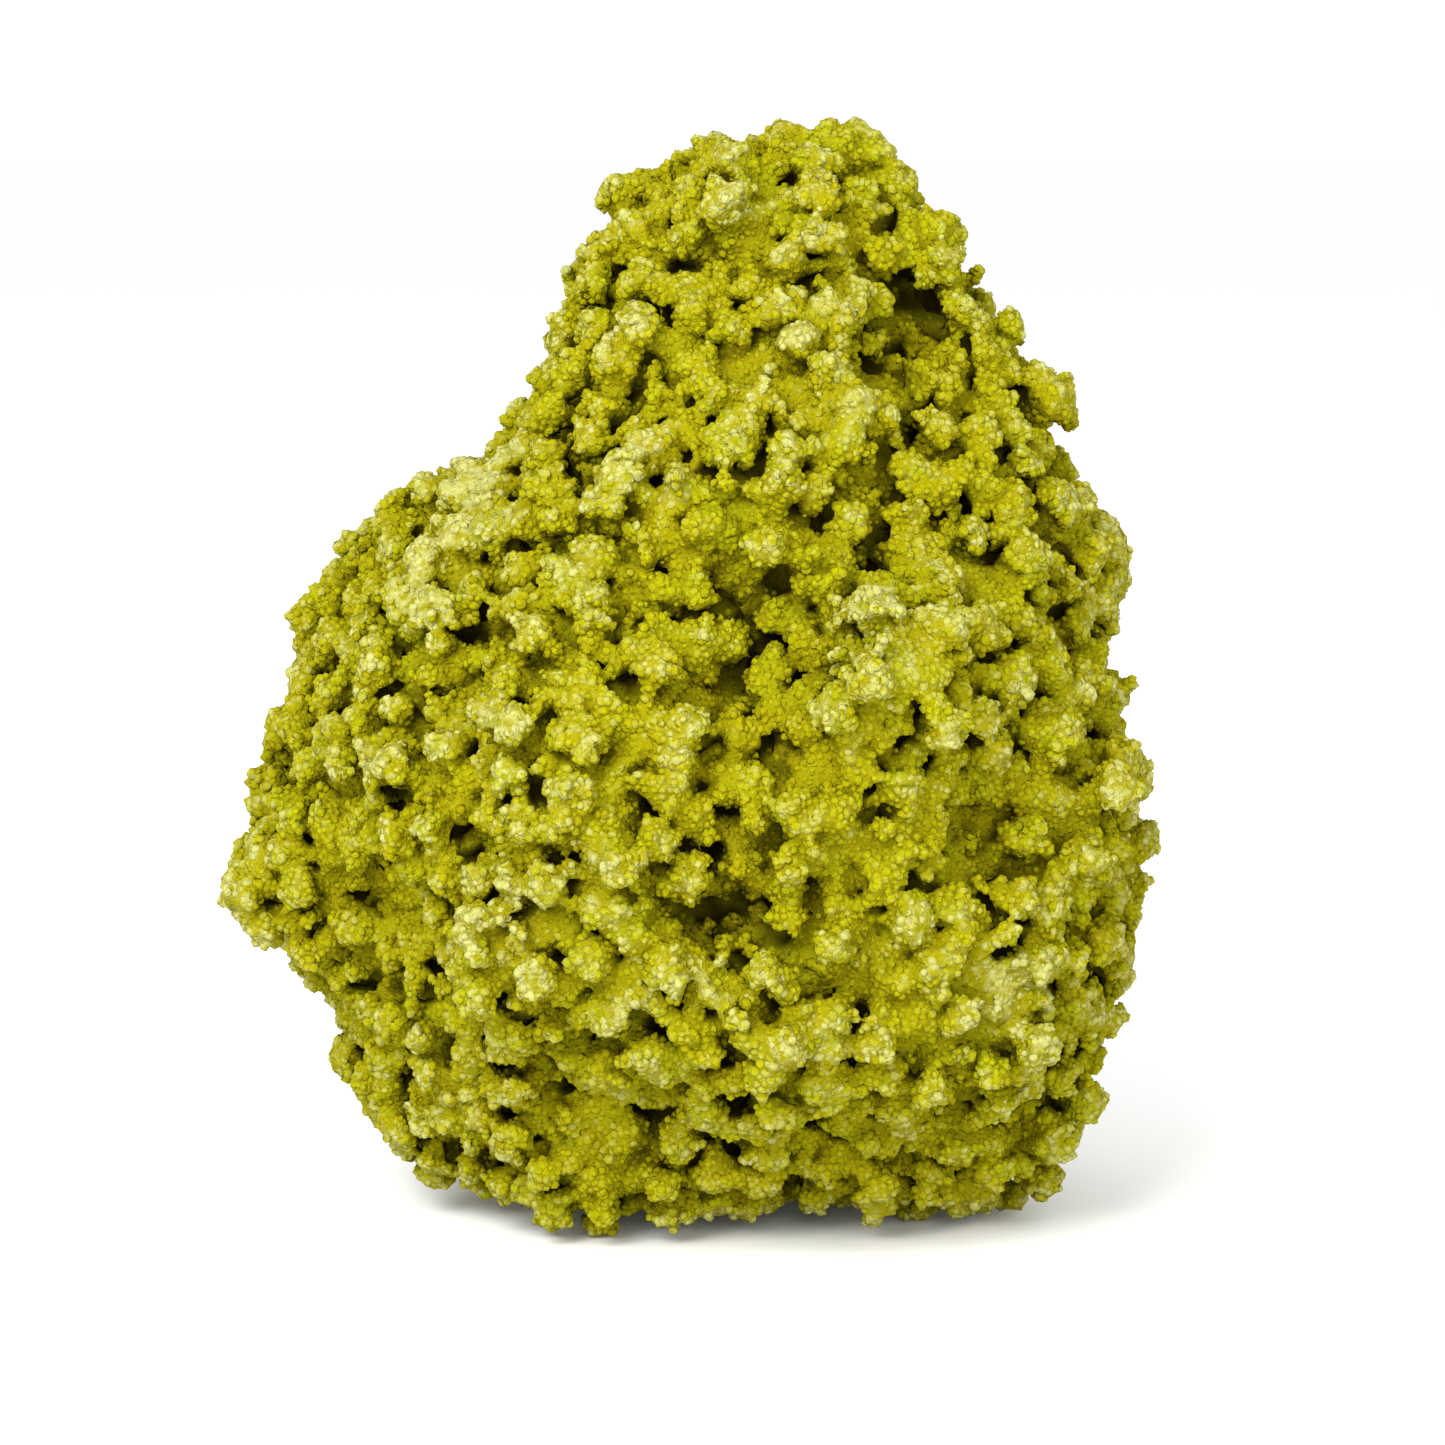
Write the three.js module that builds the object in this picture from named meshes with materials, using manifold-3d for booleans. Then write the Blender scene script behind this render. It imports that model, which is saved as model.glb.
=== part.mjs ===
// Nontronite specimen: a hand-sized lump of yellow-green iron clay, grown as one botryoidal mass.
// Millimetres, +Z up, front towards -Y. The origin is under the middle of the specimen, on the plane
// that it rests on.
//
// The mass starts as its front outline, swollen towards the front and the back. Lumps, ledges, grooves
// and pits are then raised or sunk on that skin, and the underside is cut flat where it rests.

import * as THREE from "three";
import { mergeVertices } from "three/addons/utils/BufferGeometryUtils.js";
import { ImprovedNoise } from "three/addons/math/ImprovedNoise.js";
import Module from "manifold-3d";

// ---- Driving dimensions ----------------------------------------------------------------------------

const HEART = { x: 2, z: 44 };           // the point that the outline is measured round
const SKIN_DETAIL = 21;                  // subdivisions of the skin: triangles about 2.3 mm across
const OUTLINE_SAMPLES = 720;             // points that the outline's curve is read at
const FULLNESS = 2.3;                    // 2 swells like an egg, more fills the corners out
const LOBE_SET_BACK = 9;                 // how far the left lobe lies behind the main mass
const LOBE_ROOT = -10;                   // where the lobe starts to fall back, left of the middle
const LOBE_CREST = -34;                  // where it has fallen back all the way

// The front outline, clockwise from the peak: distance to the right of the middle, and height.
const OUTLINE = [
  [9.0, 92.6], [16.0, 90.4], [20.6, 85.6], [25.0, 78.0],         // peak, right of it
  [28.4, 70.0], [31.2, 61.0], [33.4, 51.0], [35.6, 41.0],        // right shoulder
  [36.4, 32.5], [34.8, 23.5], [32.2, 14.5], [28.6, 6.5],         // right flank
  [24.0, -1.5], [16.0, -8.0], [4.0, -11.0], [-7.0, -7.0],        // underside, before it is cut
  [-15.0, -1.0], [-23.0, 4.0], [-29.4, 11.0], [-31.0, 17.5],     // left foot
  [-34.4, 22.6], [-39.6, 28.4], [-38.0, 38.0], [-35.8, 46.0],    // tip of the left lobe
  [-32.0, 55.0], [-25.4, 62.2], [-17.4, 67.2], [-13.8, 73.0],    // left lobe, saddle
  [-11.2, 79.5], [-9.2, 86.0], [-5.0, 91.0], [2.0, 92.6],        // left end of the crest
];

// Lumps that stand out on the outline itself, measured as it is: how wide each is, and how far it rises.
const RIM_LUMPS = [
  { name: "peak knob", at: [13.0, 93.0], reach: 5.5, rise: 3.2 },
  { name: "left end of the crest", at: [-3.5, 91.5], reach: 5.0, rise: 1.8 },
  { name: "spur left of the peak", at: [-9.5, 84.5], reach: 4.6, rise: 2.2 },
  { name: "right of the peak", at: [21.0, 86.5], reach: 4.6, rise: 1.6 },
  { name: "right shoulder knob", at: [30.0, 71.0], reach: 6.5, rise: 2.2 },
  { name: "right flank knob", at: [33.5, 59.5], reach: 6.5, rise: 3.0 },
  { name: "right flank, middle", at: [36.4, 38.0], reach: 6.0, rise: 2.0 },
  { name: "right flank, low", at: [35.2, 24.0], reach: 5.5, rise: 1.8 },
  { name: "right foot", at: [31.0, 10.5], reach: 5.5, rise: 1.8 },
  { name: "left lobe tip", at: [-38.6, 28.5], reach: 6.5, rise: 3.0 },
  { name: "left lobe, middle", at: [-37.0, 41.0], reach: 5.5, rise: 1.8 },
  { name: "left lobe, upper", at: [-32.5, 54.0], reach: 6.0, rise: 1.6 },
  { name: "left foot", at: [-28.5, 13.0], reach: 6.0, rise: 2.0 },
];

// How far the mass reaches to the front and to the back, at each height.
const DEPTHS = [
  { height: -12, front: 14, back: 22 },
  { height: 2, front: 20, back: 30 },
  { height: 12, front: 30, back: 34 },
  { height: 24, front: 35, back: 35 },
  { height: 40, front: 36, back: 35 },
  { height: 54, front: 33, back: 33 },
  { height: 68, front: 26, back: 30 },
  { height: 80, front: 20, back: 26 },
  { height: 97, front: 12, back: 20 },
];

// Lumps on the front, by distance to the right and height: how wide each is, and how far it stands out.
const FRONT_LUMPS = [
  { name: "main knob", at: [16.5, 50.0], reach: 8.0, rise: 7.5 },
  { name: "brow over the main knob", at: [21.5, 54.0], reach: 8.5, rise: 2.6 },
  { name: "crest, left", at: [4.5, 88.5], reach: 7.5, rise: 2.4 },
  { name: "worn shoulder of the peak", at: [13.5, 81.0], reach: 7.0, rise: 2.6 },
  { name: "worn slope", at: [9.0, 73.0], reach: 9.0, rise: 2.0 },
  { name: "middle boss", at: [-2.0, 64.5], reach: 6.5, rise: 2.8 },
  { name: "boss between the valleys", at: [9.0, 60.5], reach: 5.5, rise: 2.4 },
  { name: "left ridge, top", at: [-13.0, 55.0], reach: 8.0, rise: 2.4 },
  { name: "left ridge, middle", at: [-8.0, 40.5], reach: 8.0, rise: 3.4 },
  { name: "left ridge, foot", at: [-15.5, 27.0], reach: 8.5, rise: 4.0 },
  { name: "left shoulder", at: [-24.0, 42.0], reach: 7.0, rise: 2.6 },
  { name: "belly", at: [3.0, 22.0], reach: 10.0, rise: 4.0 },
  { name: "belly, left", at: [-8.5, 19.0], reach: 7.5, rise: 2.6 },
  { name: "worn cheek", at: [27.5, 21.5], reach: 9.5, rise: 3.6 },
  { name: "right shoulder boss", at: [30.0, 69.0], reach: 6.0, rise: 2.4 },
  { name: "right flank boss", at: [33.0, 38.0], reach: 7.0, rise: 2.8 },
  { name: "boss below the main knob", at: [6.5, 38.0], reach: 7.0, rise: 3.0 },
  { name: "boss right of the belly", at: [17.5, 25.5], reach: 7.0, rise: 2.4 },
  { name: "front foot", at: [-8.5, 3.5], reach: 6.5, rise: 4.6 },
  { name: "left lobe, upper", at: [-27.5, 54.0], reach: 8.0, rise: 1.8 },
];

// Pits and hollows on the front, measured the same way: how wide each is, and how deep.
const FRONT_HOLLOWS = [
  { name: "cave under the main knob", at: [23.0, 41.5], reach: 6.7, sink: 4.6 },
  { name: "pit left of the cave", at: [17.5, 41.0], reach: 5.2, sink: 3.0 },
  { name: "pit right of the cave", at: [27.7, 35.6], reach: 5.4, sink: 3.4 },
  { name: "pit in the belly valley", at: [4.3, 29.9], reach: 5.6, sink: 3.8 },
  { name: "pit over the right boss", at: [17.3, 32.6], reach: 5.0, sink: 2.8 },
  { name: "pit above the brow", at: [15.6, 58.6], reach: 5.4, sink: 1.8 },
  { name: "pit right of the middle", at: [20.5, 60.6], reach: 5.4, sink: 1.6 },
  { name: "pit left of the middle boss", at: [-1.0, 60.7], reach: 5.0, sink: 3.0 },
  { name: "pit below the middle boss", at: [2.8, 56.9], reach: 5.2, sink: 3.2 },
  { name: "deep pit of the valley", at: [4.9, 52.4], reach: 5.8, sink: 4.2 },
  { name: "pit in the valley floor", at: [0.9, 43.4], reach: 5.4, sink: 3.2 },
  { name: "pit by the worn shoulder", at: [19.2, 82.4], reach: 5.8, sink: 3.8 },
  { name: "pit below the worn shoulder", at: [17.9, 75.6], reach: 5.4, sink: 3.0 },
  { name: "pit on the right slope", at: [25.8, 64.8], reach: 5.6, sink: 1.8 },
  { name: "notch by the left lobe", at: [-27.5, 27.7], reach: 6.2, sink: 4.2 },
  { name: "pit of the left slope", at: [-21.4, 49.6], reach: 5.4, sink: 3.0 },
  { name: "hollow under the belly", at: [-9.1, 13.3], reach: 6.2, sink: 3.4 },
  { name: "hollow under the left belly", at: [-8.0, 6.5], reach: 5.2, sink: 2.2 },
  { name: "pit beside the belly", at: [-1.0, 17.1], reach: 5.2, sink: 2.8 },
  { name: "pit left of the belly", at: [-1.9, 24.1], reach: 5.2, sink: 2.8 },
  { name: "pit over the worn cheek", at: [10.5, 21.0], reach: 5.2, sink: 2.4 },
  { name: "pit under the worn cheek", at: [28.7, 25.2], reach: 4.8, sink: 2.2 },
  { name: "undercut between the feet", at: [6.0, 4.5], reach: 7.0, sink: 3.0 },
];

// Grooves on the front run between the ridges: their course, how wide they are, and how deep.
const FRONT_GROOVES = [
  { name: "middle valley", course: [[-1, 62], [5, 53], [1, 43], [4, 34], [3, 29]], reach: 5.4, sink: 2.4 },
  { name: "lobe valley", course: [[-17, 66], [-21, 52], [-26, 38], [-28, 27]], reach: 5.9, sink: 2.2 },
  { name: "under the ledge", course: [[-20, 14], [-9, 12], [2, 9], [14, 10], [26, 12]],
    reach: 4.5, sink: 2.6 },
  { name: "left of the belly", course: [[-4, 27], [-1, 20], [-4, 13]], reach: 4.3, sink: 1.8 },
  { name: "beside the worn shoulder", course: [[19, 86], [18, 76], [22, 67]], reach: 4.9, sink: 2.2 },
];

// The underside is drawn up a little between the feet that the specimen rests on. Each foot is given by
// its distance to the right and to the back, and has a flat sole.
const FEET = [
  { name: "front foot", at: [-9.0, -9.0], sole: 3.4 },
  { name: "right foot", at: [21.0, 2.0], sole: 3.4 },
  { name: "back right foot", at: [15.0, 15.0], sole: 4.0 },
  { name: "back left foot", at: [-8.0, 14.0], sole: 4.0 },
  { name: "middle foot", at: [5.0, 2.0], sole: 4.6 },
];
const GROUND_LEVEL = 1.2;                // where the outline is cut off by the ground
const ARCH_RISE = 2.8;                   // how far the underside lies over the ground between the feet
const ARCH_RUN = 6.0;                    // how far from a sole it reaches that height
const GROUND_CELL = 2.6;                 // size of the facets of the underside

// The back is plainer: broad lumps and hollows, measured as on the front.
const BACK_LUMPS = [
  { name: "back of the peak", at: [8.0, 84.0], reach: 10.0, rise: 2.6 },
  { name: "back shoulder", at: [22.0, 62.0], reach: 11.0, rise: 3.4 },
  { name: "back ridge", at: [-4.0, 56.0], reach: 10.0, rise: 3.2 },
  { name: "back of the left lobe", at: [-24.0, 44.0], reach: 11.0, rise: 3.6 },
  { name: "back belly", at: [10.0, 30.0], reach: 12.0, rise: 3.6 },
  { name: "back belly, left", at: [-14.0, 22.0], reach: 10.0, rise: 3.2 },
  { name: "back cheek", at: [28.0, 20.0], reach: 9.0, rise: 2.8 },
];
const BACK_HOLLOWS = [
  { name: "back valley, top", at: [9.0, 68.0], reach: 6.0, sink: 3.4 },
  { name: "back valley, middle", at: [3.0, 44.0], reach: 6.5, sink: 3.8 },
  { name: "back valley, right", at: [20.0, 44.0], reach: 5.5, sink: 3.2 },
  { name: "back notch of the lobe", at: [-14.0, 38.0], reach: 6.0, sink: 3.6 },
  { name: "back hollow, low", at: [-2.0, 14.0], reach: 6.0, sink: 3.2 },
  { name: "back hollow, right", at: [22.0, 12.0], reach: 5.0, sink: 2.6 },
];

// Knobs all over: clusters of spherules, each a dome, with a crevice where two domes meet.
const KNOB_COUNT = 340;
const KNOB_REACH = { least: 4.4, most: 6.6 };
const KNOB_RISE = { least: 2.6, most: 4.8 };
const KNOB_ROUNDNESS = 0.75;             // 0.5 is a half ball, 1 a parabola
const KNOB_STRAY = 0.12;                 // how far a knob strays from even spacing
const KNOB_SEED = 7;

// Slow swells under the knobs, so that no flank is even.
const SWELL_LENGTH = 17;
const SWELL_RISE = 1.5;

// The relief is worn round: each point settles part of the way to the middle of its neighbours.
const WEAR_PASSES = 1;
const WEAR_SHARE = 0.4;

const MERGE_DISTANCE = 1e-4;             // corners closer than this on the unit ball are one

// ---- The skin before its relief --------------------------------------------------------------------

// Repeatable random numbers from 0 to 1.
function seededRandom(seed) {
  let state = seed;
  return () => {
    state = (state + 0x6d2b79f5) | 0;
    let bits = Math.imul(state ^ (state >>> 15), 1 | state);
    bits = (bits + Math.imul(bits ^ (bits >>> 7), 61 | bits)) ^ bits;
    return ((bits ^ (bits >>> 14)) >>> 0) / 4294967296;
  };
}

// How far the outline lies from the heart, at an angle in the plane of the front.
function makeOutlineReach() {
  const corners = OUTLINE.map(([x, z]) => new THREE.Vector3(x - HEART.x, z - HEART.z, 0));
  const curve = new THREE.CatmullRomCurve3(corners, true, "centripetal");
  const points = curve.getPoints(OUTLINE_SAMPLES);
  const samples = points.map((p) => ({ angle: Math.atan2(p.y, p.x), reach: Math.hypot(p.x, p.y) }));
  samples.sort((a, b) => a.angle - b.angle);
  return (angle) => {
    let low = 0;
    let high = samples.length - 1;
    while (high - low > 1) {
      const middle = (low + high) >> 1;
      if (samples[middle].angle > angle) high = middle;
      else low = middle;
    }
    const span = samples[high].angle - samples[low].angle;
    const share = span > 0 ? THREE.MathUtils.clamp((angle - samples[low].angle) / span, 0, 1) : 0;
    return THREE.MathUtils.lerp(samples[low].reach, samples[high].reach, share);
  };
}

const outlineReach = makeOutlineReach();

// The reach towards the front or the back at a height, read between the rows of DEPTHS.
function depthAt(height, side) {
  const above = DEPTHS.findIndex((row) => row.height > height);
  if (above === 0) return DEPTHS[0][side];
  if (above < 0) return DEPTHS[DEPTHS.length - 1][side];
  const [low, high] = [DEPTHS[above - 1], DEPTHS[above]];
  return THREE.MathUtils.mapLinear(height, low.height, high.height, low[side], high[side]);
}

// The left lobe lies further back than the main mass.
function setBack(x) {
  return LOBE_SET_BACK * THREE.MathUtils.smoothstep(-x, -LOBE_ROOT, -LOBE_CREST);
}

// A point of the skin, from its place in the front view and how far round to the front or back it is:
// turn is -1 at the foremost line, 0 on the outline and 1 at the rearmost line.
function skinPoint(x, z, turn) {
  const side = turn < 0 ? "front" : "back";
  return new THREE.Vector3(x, turn * depthAt(z, side) + setBack(x), z);
}

function skinPointOfDirection(direction) {
  const across = Math.hypot(direction.x, direction.z);
  const angle = Math.atan2(direction.z, direction.x);
  const swell = (across ** FULLNESS + Math.abs(direction.y) ** FULLNESS) ** (-1 / FULLNESS);
  const reach = outlineReach(angle) * across * swell;
  const [x, z] = [HEART.x + reach * Math.cos(angle), HEART.z + reach * Math.sin(angle)];
  return skinPoint(x, z, direction.y * swell);
}

// The point of the skin that is seen at a place in the front view, or from behind.
function skinPointAt([x, z], side) {
  const angle = Math.atan2(z - HEART.z, x - HEART.x);
  const share = Math.min(1, Math.hypot(x - HEART.x, z - HEART.z) / outlineReach(angle));
  const turn = (1 - share ** FULLNESS) ** (1 / FULLNESS);
  return skinPoint(x, z, { front: -turn, rim: 0, back: turn }[side]);
}

// ---- Relief ----------------------------------------------------------------------------------------

// A rounded bump of height 1 that falls to 0 at its reach.
function bump(distance, reach) {
  const share = Math.min(1, distance / reach);
  return (1 - share * share) ** 2;
}

function placed(features, side) {
  return features.map(({ at, reach, rise = 0, sink = 0 }) => (
    { centre: skinPointAt(at, side), reach, height: rise - sink }
  ));
}

// A groove is a line of points on the skin, close enough together to act as one.
function placedGroove({ course, reach, sink }) {
  const corners = course.map(([x, z]) => new THREE.Vector2(x, z));
  const line = new THREE.SplineCurve(corners);
  const steps = Math.ceil(line.getLength() / (reach / 3));
  const points = line.getSpacedPoints(steps).map((p) => skinPointAt([p.x, p.y], "front"));
  return { points, reach, sink };
}

function makeKnobs() {
  const random = seededRandom(KNOB_SEED);
  const goldenAngle = Math.PI * (3 - Math.sqrt(5));
  const knobs = [];
  for (let i = 0; i < KNOB_COUNT; i += 1) {
    const height = 1 - (2 * i + 1) / KNOB_COUNT;
    const ring = Math.sqrt(1 - height * height);
    const turn = i * goldenAngle;
    const stray = new THREE.Vector3(random() - 0.5, random() - 0.5, random() - 0.5);
    const direction = new THREE.Vector3(ring * Math.cos(turn), ring * Math.sin(turn), height);
    direction.addScaledVector(stray, KNOB_STRAY);
    knobs.push({
      centre: skinPointOfDirection(direction.normalize()),
      reach: THREE.MathUtils.lerp(KNOB_REACH.least, KNOB_REACH.most, random()),
      rise: THREE.MathUtils.lerp(KNOB_RISE.least, KNOB_RISE.most, random()),
    });
  }
  return knobs;
}

// The height of the relief at a point of the skin, along its outward direction.
function makeRelief() {
  const marks = [
    ...placed(RIM_LUMPS, "rim"),
    ...placed(FRONT_LUMPS, "front"),
    ...placed(FRONT_HOLLOWS, "front"),
    ...placed(BACK_LUMPS, "back"),
    ...placed(BACK_HOLLOWS, "back"),
  ];
  const grooves = FRONT_GROOVES.map(placedGroove);
  const knobs = makeKnobs();
  const noise = new ImprovedNoise();
  return (point) => {
    const [x, y, z] = point.toArray().map((value) => value / SWELL_LENGTH);
    let height = SWELL_RISE * noise.noise(x, y, z);
    for (const mark of marks) {
      height += mark.height * bump(point.distanceTo(mark.centre), mark.reach);
    }
    for (const groove of grooves) {
      const nearest = Math.min(...groove.points.map((p) => p.distanceTo(point)));
      height -= groove.sink * bump(nearest, groove.reach);
    }
    let dome = 0;
    for (const knob of knobs) {
      const share = point.distanceTo(knob.centre) / knob.reach;
      if (share < 1) dome = Math.max(dome, knob.rise * (1 - share * share) ** KNOB_ROUNDNESS);
    }
    return height + dome - KNOB_RISE.least;
  };
}

// ---- Solid -----------------------------------------------------------------------------------------

function makeSkin() {
  const ball = new THREE.IcosahedronGeometry(1, SKIN_DETAIL);
  ball.deleteAttribute("normal");
  ball.deleteAttribute("uv");
  const skin = mergeVertices(ball, MERGE_DISTANCE);
  const position = skin.getAttribute("position");
  const point = new THREE.Vector3();
  for (let i = 0; i < position.count; i += 1) {
    point.fromBufferAttribute(position, i).normalize();
    position.setXYZ(i, ...skinPointOfDirection(point));
  }
  skin.computeVertexNormals();
  return skin;
}

function raiseRelief(skin) {
  const relief = makeRelief();
  const position = skin.getAttribute("position");
  const normal = skin.getAttribute("normal");
  const point = new THREE.Vector3();
  const outward = new THREE.Vector3();
  for (let i = 0; i < position.count; i += 1) {
    point.fromBufferAttribute(position, i);
    outward.fromBufferAttribute(normal, i);
    point.addScaledVector(outward, relief(point));
    position.setXYZ(i, point.x, point.y, point.z);
  }
  skin.deleteAttribute("normal");
  return skin;
}

function wearRound(skin) {
  const position = skin.getAttribute("position");
  const corners = skin.getIndex().array;
  const neighbours = Array.from({ length: position.count }, () => new Set());
  for (let i = 0; i < corners.length; i += 3) {
    const triangle = corners.subarray(i, i + 3);
    triangle.forEach((from) => triangle.forEach((to) => from !== to && neighbours[from].add(to)));
  }
  for (let pass = 0; pass < WEAR_PASSES; pass += 1) {
    const before = Array.from(neighbours, (_, i) => new THREE.Vector3().fromBufferAttribute(position, i));
    neighbours.forEach((near, i) => {
      const middle = new THREE.Vector3();
      near.forEach((j) => middle.addScaledVector(before[j], 1 / near.size));
      position.setXYZ(i, ...before[i].clone().lerp(middle, WEAR_SHARE));
    });
  }
  return skin;
}

const manifold = await Module();
manifold.setup();

function toManifold(geometry) {
  return new manifold.Manifold(new manifold.Mesh({
    numProp: 3,
    vertProperties: new Float32Array(geometry.getAttribute("position").array),
    triVerts: new Uint32Array(geometry.getIndex().array),
  }));
}

function toGeometry(solid) {
  const mesh = solid.getMesh();
  const geometry = new THREE.BufferGeometry();
  geometry.setAttribute("position", new THREE.BufferAttribute(mesh.vertProperties, mesh.numProp));
  geometry.setIndex(new THREE.BufferAttribute(mesh.triVerts, 1));
  return geometry;
}

// The height of the underside over the ground: a foot's sole is level, and low arches lie between.
function archAt(x, y) {
  const past = FEET.map(({ at, sole }) => Math.hypot(x - at[0], y - at[1]) - sole);
  return ARCH_RISE * THREE.MathUtils.smoothstep(Math.min(...past), 0, ARCH_RUN);
}

// What the specimen stands on is cut out of it: a block whose top is level at the feet, and follows
// the arches between them.
function cutUnderside(geometry) {
  geometry.computeBoundingBox();
  const { min, max } = geometry.boundingBox;
  const [width, length] = [max.x - min.x + GROUND_CELL, max.y - min.y + GROUND_CELL];
  const height = 2 * (GROUND_LEVEL - min.z);
  const cells = [width, length].map((side) => Math.ceil(side / GROUND_CELL));
  const ground = new THREE.BoxGeometry(width, length, height, ...cells, 1);
  const middle = { x: (min.x + max.x) / 2, y: (min.y + max.y) / 2, z: GROUND_LEVEL - height / 2 };
  ground.translate(middle.x, middle.y, middle.z);
  ground.deleteAttribute("normal");
  ground.deleteAttribute("uv");
  const position = ground.getAttribute("position");
  for (let i = 0; i < position.count; i += 1) {
    const arch = archAt(position.getX(i), position.getY(i));
    if (position.getZ(i) > middle.z) position.setZ(i, GROUND_LEVEL + arch);
  }
  return toGeometry(toManifold(geometry).subtract(toManifold(mergeVertices(ground))));
}

// The origin goes under the middle of the specimen.
function centreOnOrigin(geometry) {
  geometry.computeBoundingBox();
  const { min, max } = geometry.boundingBox;
  geometry.translate(-(min.x + max.x) / 2, -(min.y + max.y) / 2, -min.z);
  return geometry;
}

const clay = new THREE.MeshStandardMaterial({
  name: "nontronite_clay",
  color: new THREE.Color().setRGB(0.66, 0.64, 0.13, THREE.SRGBColorSpace),
  roughness: 0.95,
  metalness: 0,
  flatShading: true,
});

const mass = new THREE.Mesh(centreOnOrigin(cutUnderside(wearRound(raiseRelief(makeSkin())))), clay);
mass.name = "nontronite_mass";

const group = new THREE.Group();
group.add(mass);

export default group;
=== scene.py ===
import math

import bmesh
import bpy
import numpy as np
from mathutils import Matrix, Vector, noise
from mathutils.bvhtree import BVHTree
from mathutils.kdtree import KDTree


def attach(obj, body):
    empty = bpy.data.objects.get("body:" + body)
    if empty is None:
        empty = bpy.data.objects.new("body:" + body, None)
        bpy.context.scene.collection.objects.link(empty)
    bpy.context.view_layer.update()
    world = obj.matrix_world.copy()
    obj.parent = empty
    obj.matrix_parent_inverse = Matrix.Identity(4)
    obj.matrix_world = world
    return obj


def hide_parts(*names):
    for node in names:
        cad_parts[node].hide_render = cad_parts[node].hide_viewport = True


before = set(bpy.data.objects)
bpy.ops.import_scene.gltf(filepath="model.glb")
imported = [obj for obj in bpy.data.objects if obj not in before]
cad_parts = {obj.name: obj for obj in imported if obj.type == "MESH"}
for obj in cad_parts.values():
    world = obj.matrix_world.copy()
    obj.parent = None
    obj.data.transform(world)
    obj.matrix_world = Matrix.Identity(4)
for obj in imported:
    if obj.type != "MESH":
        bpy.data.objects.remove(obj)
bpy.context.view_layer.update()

# ---- The mass ----------------------------------------------------------------------------------------
# The specimen is one lump of nontronite, a soft iron-rich clay. It grew outwards from its middle in
# broad swells, with valleys and pits left open between them. All that grows on it is the same clay.

MM = 0.001
crust_depth = 3.7 * MM            # the knobs of the crust stand on a skin this far inside the outside

# The knobbly face is the front. Places on it are given as they are seen from a little above.
middle = Vector((0, 0, 46.8 * MM))
eye_tilt = math.radians(6)
eye_distance = 450 * MM
eye_line = Vector((0, -math.cos(eye_tilt), math.sin(eye_tilt)))
eye_up = Vector((0, math.sin(eye_tilt), math.cos(eye_tilt)))
eye = middle + eye_line * eye_distance
middle_height = 48                # the height, in these lists, of a place seen level with the middle

# Pits of the front: distance right of the middle, height, radius and depth, in millimetres.
front_pits = [
    (22.8, 41.7, 2.2, 5.0), (17.3, 41.3, 1.9, 4.5), (27.6, 35.8, 2.2, 4.5), (4.3, 30.1, 2.1, 4.0),
    (17.3, 32.8, 1.7, 3.5), (-27.5, 27.8, 1.6, 3.0), (25.8, 64.4, 1.5, 3.0), (15.6, 58.0, 1.6, 3.5),
    (20.5, 60.0, 1.5, 3.0), (-1.0, 60.8, 1.7, 3.5), (2.8, 57.0, 2.0, 4.5), (4.9, 52.6, 2.1, 4.5),
    (0.9, 43.6, 1.8, 4.0), (19.2, 82.5, 2.3, 4.0), (17.9, 75.7, 2.4, 4.5), (23.2, 72.1, 2.0, 3.5),
    (0.9, 73.8, 1.4, 2.5), (10.5, 21.1, 1.6, 3.0), (28.7, 25.4, 1.7, 3.5), (24.9, 27.7, 1.5, 3.0),
    (-21.4, 49.8, 1.5, 3.0), (-2.3, 80.8, 1.3, 2.5), (-9.1, 13.4, 1.6, 3.0), (-7.8, 6.4, 1.5, 3.0),
    (-1.9, 24.3, 1.5, 3.0), (-0.8, 17.2, 1.5, 3.0), (32.6, 49.3, 1.5, 3.0), (8.6, 47.6, 1.5, 3.0),
    (13.8, 9.8, 1.7, 3.0), (-18.2, 36.6, 1.3, 2.5), (21.9, 6.4, 1.5, 3.0), (-19.3, 8.9, 1.5, 3.0),
    (-21.8, 31.5, 1.4, 2.5),
]
# Swells of the front: distance right of the middle, height, radius and rise.
front_swells = [
    (16.8, 49.7, 5.4, 4.2), (-2.3, 64.4, 4.4, 2.4), (8.6, 59.8, 4.4, 1.4), (5.8, 87.9, 4.6, 1.2),
    (13.4, 80.6, 5.2, 1.6), (-21.8, 54.5, 8.0, 1.4), (-8.2, 30.6, 6.0, 1.8), (-15.9, 26.3, 6.0, 1.8),
    (0.3, 21.2, 6.0, 2.0), (26.6, 21.2, 7.0, 2.2), (12.2, 20.4, 6.0, 1.4), (34.3, 59.5, 5.0, 1.2),
    (33.4, 38.3, 6.0, 1.2), (-17.6, 13.6, 6.0, 1.4), (22.4, 13.6, 6.0, 1.2), (-18.0, 41.5, 6.0, 1.2),
]
# Valleys between the swells: distance right of the middle, height, radius and depth.
front_valleys = [
    (1.1, 57.8, 4.5, 2.2), (4.5, 52.3, 4.5, 2.6), (3.0, 43.4, 4.5, 2.2), (4.0, 30.0, 4.5, 2.2),
    (23.4, 42.5, 4.5, 2.8), (27.0, 36.0, 4.5, 2.8), (19.5, 82.0, 4.5, 2.6), (18.5, 75.0, 4.5, 2.8),
    (16.0, 59.5, 4.0, 1.6), (-6.0, 9.5, 5.5, 2.2), (-27.0, 27.8, 4.5, 2.0), (10.5, 32.0, 4.5, 1.4),
    (13.0, 6.0, 7.0, 2.4), (-9.5, 46.5, 5.0, 1.4), (20.0, 30.5, 4.5, 1.4), (-10.0, 20.0, 4.5, 1.4),
]
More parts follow.
